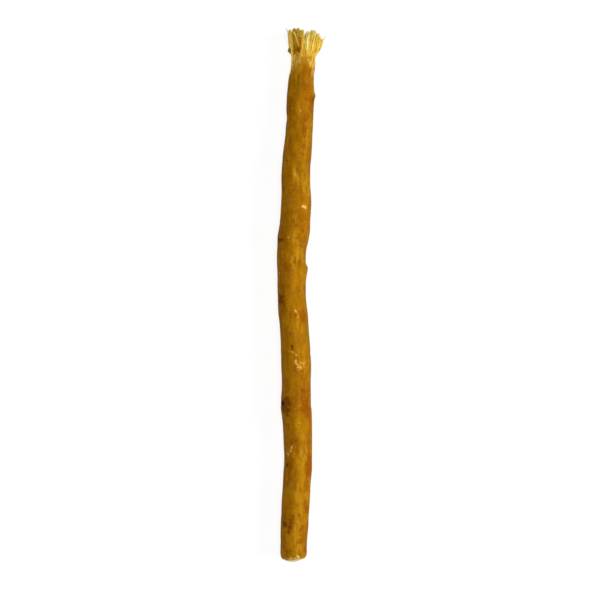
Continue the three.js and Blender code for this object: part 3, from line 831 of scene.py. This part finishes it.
def make_cut_face(material):
    """The cut end's wood: its rim inside the bark's edge, and a low dome from there to the heart."""
    from_end = np.append(np.linspace(FACE_START, 0, RIM_ROWS), np.zeros(FACE_ROWS))
    dome, angle = rings(from_end, FACE_AROUND)
    share = smooth_through(CUT_END, 1, dome)
    share[RIM_ROWS:] = np.linspace(CUT_END[0, 1], HEART, FACE_ROWS + 1)[1:, None]
    from_middle = MEAN_RADIUS * share
    radius = bark_form(dome, angle) * share
    chipped = layered(KNIFE_MARKS, from_middle, angle) * ease(0, 0.3, share)
    sunk = BARK_THICKNESS * ease(0.3, 0.8, dome)  # where the bark covers it
    points = on_stick(dome + chipped + FACE_SET_IN, angle, radius - sunk)
    values = {"from_heart": radius, "rays": 0.5 + layered(RAYS, from_middle, angle)}
    faces = [face[::-1] for face in tube_faces(len(points), FACE_AROUND, near_cap=False)]
    piece_from("cut_face", points, faces, material, values)


def make_peeled_neck(material):
    """The bare wood under the brush, grooved along its fibres, and hollowed on its left top."""
    along, angle = rings(np.linspace(NECK_START, CORE_END, NECK_ROWS), NECK_AROUND)
    sunk = 0.04 + 0.3 * ease(138.6, 136.6, along)  # where the bark covers it
    grooved = GROOVE_DEPTH * layered(GROOVES, along, angle, ridged=True)
    first, last = HOLLOW
    hollow = ease(first - 0.12, first + 0.25, angle) * ease(last + 0.12, last - 0.25, angle)
    scooped = SCOOP_DEPTH * hollow * ease(141.2, CORE_END, along)
    points = on_stick(along, angle, wood_form(along, angle, -grooved - sunk) - scooped)
    underside = np.sin(angle) < 0
    browning_and_shade = 0.36 + layered(NECK_BLOTCHES, along, angle) + 0.14 * underside
    # Painted shade in the scoop on the left top, with some brown stain: darker towards the brush.
    browning_and_shade += 0.3 * hollow * ease(142.2, 142.9, along)
    browning_and_shade += 0.16 * ease(0.5, 0, np.abs(turned(angle, 1.45)))  # the bark's brown runs in on top
    browning_and_shade += 0.1 * ease(1.2, 0, along - torn_edge(angle))
    faces = tube_faces(NECK_ROWS, NECK_AROUND, near_cap=False)
    piece_from("peeled_neck", points, faces, material, {"browning_and_shade": browning_and_shade})


def chance_from(seed):
    """Repeatable chance, the same as the solid's brush is made with."""
    state = seed
    while True:
        state = (state * 1664525 + 1013904223) % 2**32  # well-known numbers for this
        yield state / 2**32


def brush_bundles():
    """Each bundle's root and tip across and up, its tip along, and its radius."""
    chance = chance_from(BUNDLE_SEED)
    bundles = []
    for ring, (count, reach) in enumerate(BUNDLE_RINGS):
        for i in range(count):
            angle = (i + RING_TURN * ring + BUNDLE_SCATTER * next(chance)) / count * FULL_TURN
            root = np.array([reach * math.cos(angle), reach * math.sin(angle)])
            shift, spread = LEFT_TUFT if root[0] < SPLIT else RIGHT_TUFT
            tip = np.array([shift + spread * root[0], UPRIGHT_SPREAD * root[1]])
            tip[0] += BUNDLE_WANDER * (2 * next(chance) - 1)
            tip[1] += BUNDLE_WANDER * (2 * next(chance) - 1)
            tip_along = float(smooth_through(TIP_LINE, 1, tip[0])) - BUNDLE_SHORT * next(chance) ** 2
            radius = BUNDLE_RADIUS * (1 + BUNDLE_UNEVEN * (2 * next(chance) - 1))
            next(chance)  # the turn of the solid's bundle, which isn't needed here
            if ring or not HOLLOW[0] < angle < HOLLOW[1]:
                bundles.append((root, tip, tip_along, radius))
    return bundles


def bundle_spine(root, tip, tip_along, along, bend):
    """A bundle's middle, across and up from the table, at places along it."""
    free = np.clip((along - BUNDLE_FREE) / (tip_along - BUNDLE_FREE), 0, 1.2)
    root, tip = np.reshape(root, (2, 1)), np.reshape(tip, (2, 1))
    return middle_at(along) + root + (tip - root) * free**bend


def wood_tone(section, along, root, tip, chance):
    """How browned a strand is along its run, with painted shade in it, and how olive. Right of the middle
    it is pale, with a few slits painted olive and browner as shade. On the left it is tan, and in the
    hollow on top brown, partly stain and partly painted shade, with olive tips."""
    across, even = section[0] - drift_at(along), chance.random()
    left = HOLLOW_LEFT + HOLLOW_LEFT_IN * ease(147, 148.5, along)
    right = HOLLOW_RIGHT - HOLLOW_RIGHT_IN * ease(143.8, 142.6, along)
    hollow = ease(left - 0.35, left + 0.35, across) * ease(right + 0.3, right - 0.3, across)
    right_tuft = ease(SPLIT - 0.9, SPLIT + 0.5, across)
    regions = {
        "left": 1 - right_tuft,
        "right": right_tuft,
        "middle": swell(across - MIDDLE, MIDDLE_WIDTH),
        "hollow": hollow * ease(-1.4, 0, root[1]),
    }
    browning_and_shade = LEFT_TONE - RIGHT_PALER * right_tuft + TONE_UNEVEN * even
    for region, most, begins, full in BROWNING_AND_SHADE:
        browning_and_shade = browning_and_shade + most * regions[region] * ease(begins, full, along)
    for most, begins, full in RIM_BROWNING:
        browning_and_shade = browning_and_shade + most * ease(begins, full, across)
    olive = OLIVE_TIPS * ease(146.8, 148.8, along)
    olive = olive + (OLIVE_HOLLOW + even) * regions["hollow"] * ease(146.6, 148, along)
    # Painted shade in the right tuft's slits: their strands are painted olive and browner.
    for centre, half_width in SHADED_SLITS:
        slit_shade = swell(tip[0] - centre, half_width) * ease(143, 144.5, along)
        olive, browning_and_shade = olive + slit_shade, browning_and_shade + SLIT_SHADE * slit_shade
    return browning_and_shade, olive


def held_in(section, along, thick):
    """Keeps a fibre inside the wood as far as the neck's shoulder, from where it leans out."""
    across, up = section - middle_at(along)
    wood = wood_form(along, np.arctan2(up, across))
    room = wood - 0.14 - thick + 4 * ease(141.3, 145, along) ** 1.3
    share = np.minimum(1, room / np.hypot(across, up))
    return middle_at(along) + share * np.array([across, up])


def fibre_run():
    """Places along a fibre from 0 to 1, closer towards its ends."""
    even = np.linspace(0, 1, FIBRE_RINGS)
    return even - 0.075 * np.sin(FULL_TURN * even)


def tapered(t, to, late):
    """A strand's thickness, from 1 at its root to this at its tip, and how late it thins."""
    return 1 - (1 - to) * t**late


def spread_out(shares, t):
    """Evenly spaced shares, read at places from 0 to 1."""
    return np.interp(t, np.linspace(0, 1, len(shares)), shares)


def either_way(chance, width):
    """Chance of this width around 0."""
    return width * (chance.random() - 0.5)


def fibre(bundle, end, t, out, around, thick, chance):
    """A fibre's middle in its bundle: it winds, bows and curls a little, and strays at its tip."""
    root, tip, tip_along, bundle_radius = bundle
    start = BUNDLE_ROOT + 0.5
    along = start + (end - start) * t
    section = bundle_spine(root, tip, tip_along, along, BUNDLE_BEND)
    share = spread_out(BUNDLE_SHARES, (along - BUNDLE_ROOT) / (tip_along - BUNDLE_ROOT))
    fray = PACKING * bundle_radius * out * share * (1 + FRAY * chance.random() * t**3)
    twist = around + either_way(chance, FIBRE_TWIST) * t
    bow = np.array([[either_way(chance, FIBRE_BOW)], [either_way(chance, FIBRE_BOW)]])
    wave, phase = chance.uniform(*FIBRE_WAVE), FULL_TURN * chance.random()
    curl = FIBRE_CURL * np.sin(wave * (along - BUNDLE_FREE) + phase) * t
    section = section + fray * outwards(twist) + bow * np.sin(math.pi * t)
    section = section + [curl, 0.7 * curl]
    return held_in(section, along, thick), along


def bristles(bundles, seed):
    """A tuft's strands: every bundle is many fibres, with flat bands of wood among them."""
    chance = np.random.default_rng(seed)
    t = fibre_run()
    for bundle in bundles:
        root, tip, tip_along, _ = bundle
        shade = either_way(chance, 0.1)
        for n in range(FIBRES_PER_BUNDLE):
            thicker, flatness = BAND if chance.random() < BAND_SHARE else SINGLE
            thick = FIBRE_RADIUS * chance.uniform(*FIBRE_UNEVEN) * thicker
            out = math.sqrt((n + 0.3) / FIBRES_PER_BUNDLE)
            around = GOLDEN_TURN * n + 0.7 * chance.random()
            shorter = 0 if n == 0 else 0.6 * out**2 * chance.random() + 0.9 * chance.random() ** 3
            end = min(tip_along + LONGER - shorter, STICK_LENGTH - 0.05)
            section, along = fibre(bundle, end, t, out, around, thick, chance)
            radii = thick * tapered(t, to=0.75, late=1) * tapered(t, to=0.3, late=6)
            flat, turn = chance.uniform(*flatness), chance.uniform(0, math.pi)
            browning_and_shade, olive = wood_tone(section, along, root, tip, chance)
            weathered = 0.12 * (chance.random() < 0.25) * ease(0.88, 1, t)
            dark = 0.2 * (chance.random() < 0.07)
            tone = browning_and_shade + shade + dark + weathered, olive
            yield (placed(section, along), radii, flat, turn), tone


def splinters_and_strays():
    """The two lone splinters, and the strands that lie slantwise over the hollow."""
    chance = np.random.default_rng(62)
    t = fibre_run()
    for root_across, tip_across, end, rise in SPLINTERS:
        bundle = (root_across, SPLINTER_ROOT_RISE * rise), (tip_across, rise), end
        along = BUNDLE_ROOT + (end - BUNDLE_ROOT) * t
        radii = SPLINTER_RADIUS * spread_out(SPLINTER_SHARES, t)
        section = held_in(bundle_spine(*bundle, along, SPLINTER_BEND), along, radii)
        yield (placed(section, along), radii, 0.2, 0.4), (SPLINTER_TONE, SPLINTER_OLIVE * t)
        # Fibres that cling to it on its inner side
        for _ in range(STRAND_FIBRES * (2 if tip_across > 0 else 1)):
            shorter = along - (along - BUNDLE_ROOT) * chance.uniform(0.08, 0.35)
            section = bundle_spine(*bundle, shorter, SPLINTER_BEND)
            section[0] -= math.copysign(chance.uniform(0.05, 0.65), tip_across)
            section[1] += chance.uniform(-0.3, 0.3)
            thick = FIBRE_RADIUS * chance.uniform(1, 1.6)
            section = held_in(section, shorter, thick)
            radii = thick * tapered(t, to=0.2, late=3)
            browning_and_shade = 0.3 + 0.2 * chance.random() + 0.15 * t
            yield (placed(section, shorter), radii, 0.3, 0.4), (browning_and_shade, 0)
    for *root, tip_across, end, rise, browned in STRAYS:
        for _ in range(STRAND_FIBRES):
            along = BUNDLE_FREE + (end - chance.random() ** 2 - BUNDLE_FREE) * t
            section = bundle_spine(root, (tip_across, rise), end, along, 1)
            bow = either_way(chance, 0.3) * np.sin(math.pi * t)
            section[0] += either_way(chance, 0.42) + bow
            section[1] += either_way(chance, 0.3)
            radii = FIBRE_RADIUS * chance.uniform(0.8, 1.3) * tapered(t, to=0.4, late=6)
            turn = chance.uniform(0, math.pi)
            # Browner towards the hollow's floor: partly brown stain, partly painted shade.
            browning_and_shade = browned + either_way(chance, 0.14) + 0.3 * ease(145, 143.4, along)
            yield (placed(section, along), radii, 0.2, turn), (browning_and_shade, 0)


def slivers(bundles):
    """Flat slivers of wood that come out from under the torn bark, lie on the neck and part into
    the outer bristles."""
    chance = np.random.default_rng(91)
    t = fibre_run()
    inner_reach = BUNDLE_RINGS[1][1] + BUNDLE_RADIUS
    for root, tip, tip_along, bundle_radius in bundles:
        if math.hypot(*root) < inner_reach:
            continue
        for _ in range(SLIVERS_PER_BUNDLE):
            angle = math.atan2(root[1], root[0]) + chance.uniform(-0.17, 0.17)
            start = torn_edge(angle) - chance.uniform(0.4, 1.2)
            end = chance.uniform(144.2, tip_along - 0.8)
            along = start + (end - start) * t
            out = outwards(angle + 0 * along)
            on_neck = wood_form(along, angle) - 0.2 * ease(1.4, 0.6, along - start)
            on_neck = middle_at(along) + on_neck * out
            in_tuft = bundle_spine(root, tip, tip_along, along, BUNDLE_BEND) + 0.8 * bundle_radius * out
            freed = ease(141.4, 143.4, along)
            section = freed * in_tuft + (1 - freed) * on_neck
            widest = np.sin(math.pi * (0.2 + 0.8 * t)) ** 0.7  # near its root
            radii = chance.uniform(*SLIVER_RADIUS) * widest + 0.01
            browning_and_shade, olive = wood_tone(section, along, root, tip, chance)
            stained = 0.12 * ease(3.4, 0, along - start) + either_way(chance, 0.1)
            strand = placed(section, along), radii, 0.7, angle + math.pi / 2
            yield strand, (browning_and_shade + stained, olive)


def loose_hairs(bundles):
    """Single fibres that stray from the bundles and stand out at the tips."""
    chance = np.random.default_rng(71)
    t = np.linspace(0, 1, HAIR_RINGS)
    for _ in range(HAIRS):
        root, tip, tip_along, _ = bundles[chance.integers(len(bundles))]
        begin = chance.uniform(141.5, tip_along - 2)
        end = min(tip_along + chance.uniform(-1.5, 0.5), STICK_LENGTH)
        along = begin + (end - begin) * t
        section = bundle_spine(root, tip, tip_along, along, BUNDLE_BEND)
        stray = chance.normal(0, 0.5, (2, 1)) * t**2
        curl = 0.12 * np.sin(chance.uniform(1, 3) * along + 6 * chance.random()) * t
        section = section + np.clip(chance.normal(0, 0.32, (2, 1)), -0.32, 0.32) + stray
        section[0] += curl
        section[1] = np.maximum(section[1], 0.2)
        radii = HAIR_RADIUS * chance.uniform(*FIBRE_UNEVEN) * tapered(t, to=0.4, late=1)
        yield (placed(section, along), radii, 0, 0), (0.15 + 0.5 * chance.random(), 0)


def make_bark_shreds(material):
    """Thin threads of bark and bast that are left hanging at the torn edge."""
    chance = np.random.default_rng(81)
    strands, tones = [], []
    t = np.linspace(0, 1, SHRED_RINGS)
    for _ in range(SHREDS):
        at = chance.uniform(0, FULL_TURN)
        along = torn_edge(at) - 0.8 + chance.uniform(1.2, 3.2) * t
        angle = at + chance.uniform(-0.12, 0.12) * t
        lift = 0.01 + chance.uniform(0, 0.22) * t**3
        radii = chance.uniform(*SHRED_RADIUS) * tapered(t, to=0.2, late=2) * ease(-0.1, 0.3, t)
        points = on_stick(along, angle, wood_form(along, angle) + lift)
        strands.append((points, radii, 0.3, at + math.pi / 2))
        tones.append([shows + chance.uniform(0, more) * t for shows, more in SHRED_TONES.values()])
    points, faces = strand_mesh(strands)
    values = dict.fromkeys([*MARKS, "pore"], np.zeros(len(points)))
    for kind, strengths in zip(SHRED_TONES, zip(*tones)):
        values[kind] = per_point(strands, strengths)
    piece_from("bark_shreds", points, faces, material, values)


def make_crumb(material):
    """The crumb of torn bark that is caught on the left of the brush."""
    polar, angle = rings(np.linspace(0.02, math.pi - 0.02, CRUMB_ROWS), CRUMB_AROUND)
    crusty = 1 + 0.12 * np.sin(4 * polar + 3 * np.cos(2 * angle)) + 0.1 * np.sin(5 * angle + 2 * polar)
    radius = CRUMB_HALF_WIDTH * crusty * np.sin(polar)
    middle = middle_at(CRUMB_ALONG) + [CRUMB_ACROSS, CRUMB_RISE]
    along = CRUMB_ALONG - CRUMB_HALF_LENGTH * crusty * np.cos(polar)
    points = placed(middle[:, None, None] + radius * outwards(angle), along)
    faces = tube_faces(CRUMB_ROWS, CRUMB_AROUND)
    piece_from("bark_crumb", points, faces, material)


# The picture


def set_camera():
    """Straight above, level with the table, at the distance that gives the picture its width."""
    lens = bpy.data.cameras.new("camera")
    lens.lens, lens.sensor_width = LENS, SENSOR
    lens.clip_start, lens.clip_end = CLIP
    camera = in_scene("camera", lens)
    height = LOOK_AT[2] + FRAME_WIDTH * LENS / SENSOR
    camera.location = (LOOK_AT[0] * MM, LOOK_AT[1] * MM, height * MM)
    bpy.context.scene.camera = camera


def set_table():
    """A light table: frosted glass lit evenly from below, so that the stick throws hardly a shadow."""
    material, tree, surface, _ = new_finish("light_table")
    looks = {"Base Color": linear(FROSTED_GLASS), "Roughness": FROSTED_ROUGHNESS, "Specular IOR Level": 0}
    glow = {"Emission Color": linear(WHITE), "Emission Strength": TABLE_GLOW}
    fill(tree, surface, looks | glow)
    side = TABLE_SIDE / 2
    corners = [(-side, -side), (side, -side), (side, side), (-side, side)]
    mesh = bpy.data.meshes.new("table")
    mesh.from_pydata([(x * MM, y * MM, -TABLE_GAP * MM) for x, y in corners], [], [(0, 1, 2, 3)])
    mesh.materials.append(material)
    table = in_scene("table", mesh)


def soft_lamp(name, tilt, distance, size, power):
    """A round lamp that faces the stick's middle, tilted to the right by these degrees."""
    lamp = bpy.data.lights.new(name, "AREA")
    lamp.shape, lamp.size, lamp.energy = "DISK", size * MM, power
    holder = in_scene(name, lamp)
    tilt = math.radians(tilt)
    holder.location = (distance * math.sin(tilt) * MM, 0, distance * math.cos(tilt) * MM)
    holder.rotation_euler = (0, tilt, 0)


def set_lights():
    """A soft lamp above on the right and one overhead, in a plain white room that is only seen:
    the lamps and the table alone light the stick."""
    soft_lamp("key", *KEY_LAMP)
    soft_lamp("top", *TOP_LAMP)
    room = bpy.data.worlds.new("white_room")
    room.use_nodes = True
    room.node_tree.nodes["Background"].inputs["Color"].default_value = linear(WHITE)
    bpy.context.scene.world = room
    room.cycles_visibility.diffuse = False
    room.cycles_visibility.glossy = False
    bpy.context.scene.view_settings.view_transform = "Standard"


set_camera()
set_table()
set_lights()
bark, wood = dried_bark(), frayed_wood()
make_bark(bark)
make_cut_face(cut_wood())
make_peeled_neck(wood)
bundles = brush_bundles()
left = [bundle for bundle in bundles if bundle[0][0] < SPLIT]
right = [bundle for bundle in bundles if bundle[0][0] >= SPLIT]
wooden_piece("left_bristles", bristles(left, seed=61), wood)
wooden_piece("right_bristles", bristles(right, seed=63), wood)
wooden_piece("stray_strands", splinters_and_strays(), wood)
wooden_piece("slivers", slivers(bundles), wood)
wooden_piece("loose_hairs", loose_hairs(bundles), wood)
make_bark_shreds(bark)
make_crumb(bark_crumb())
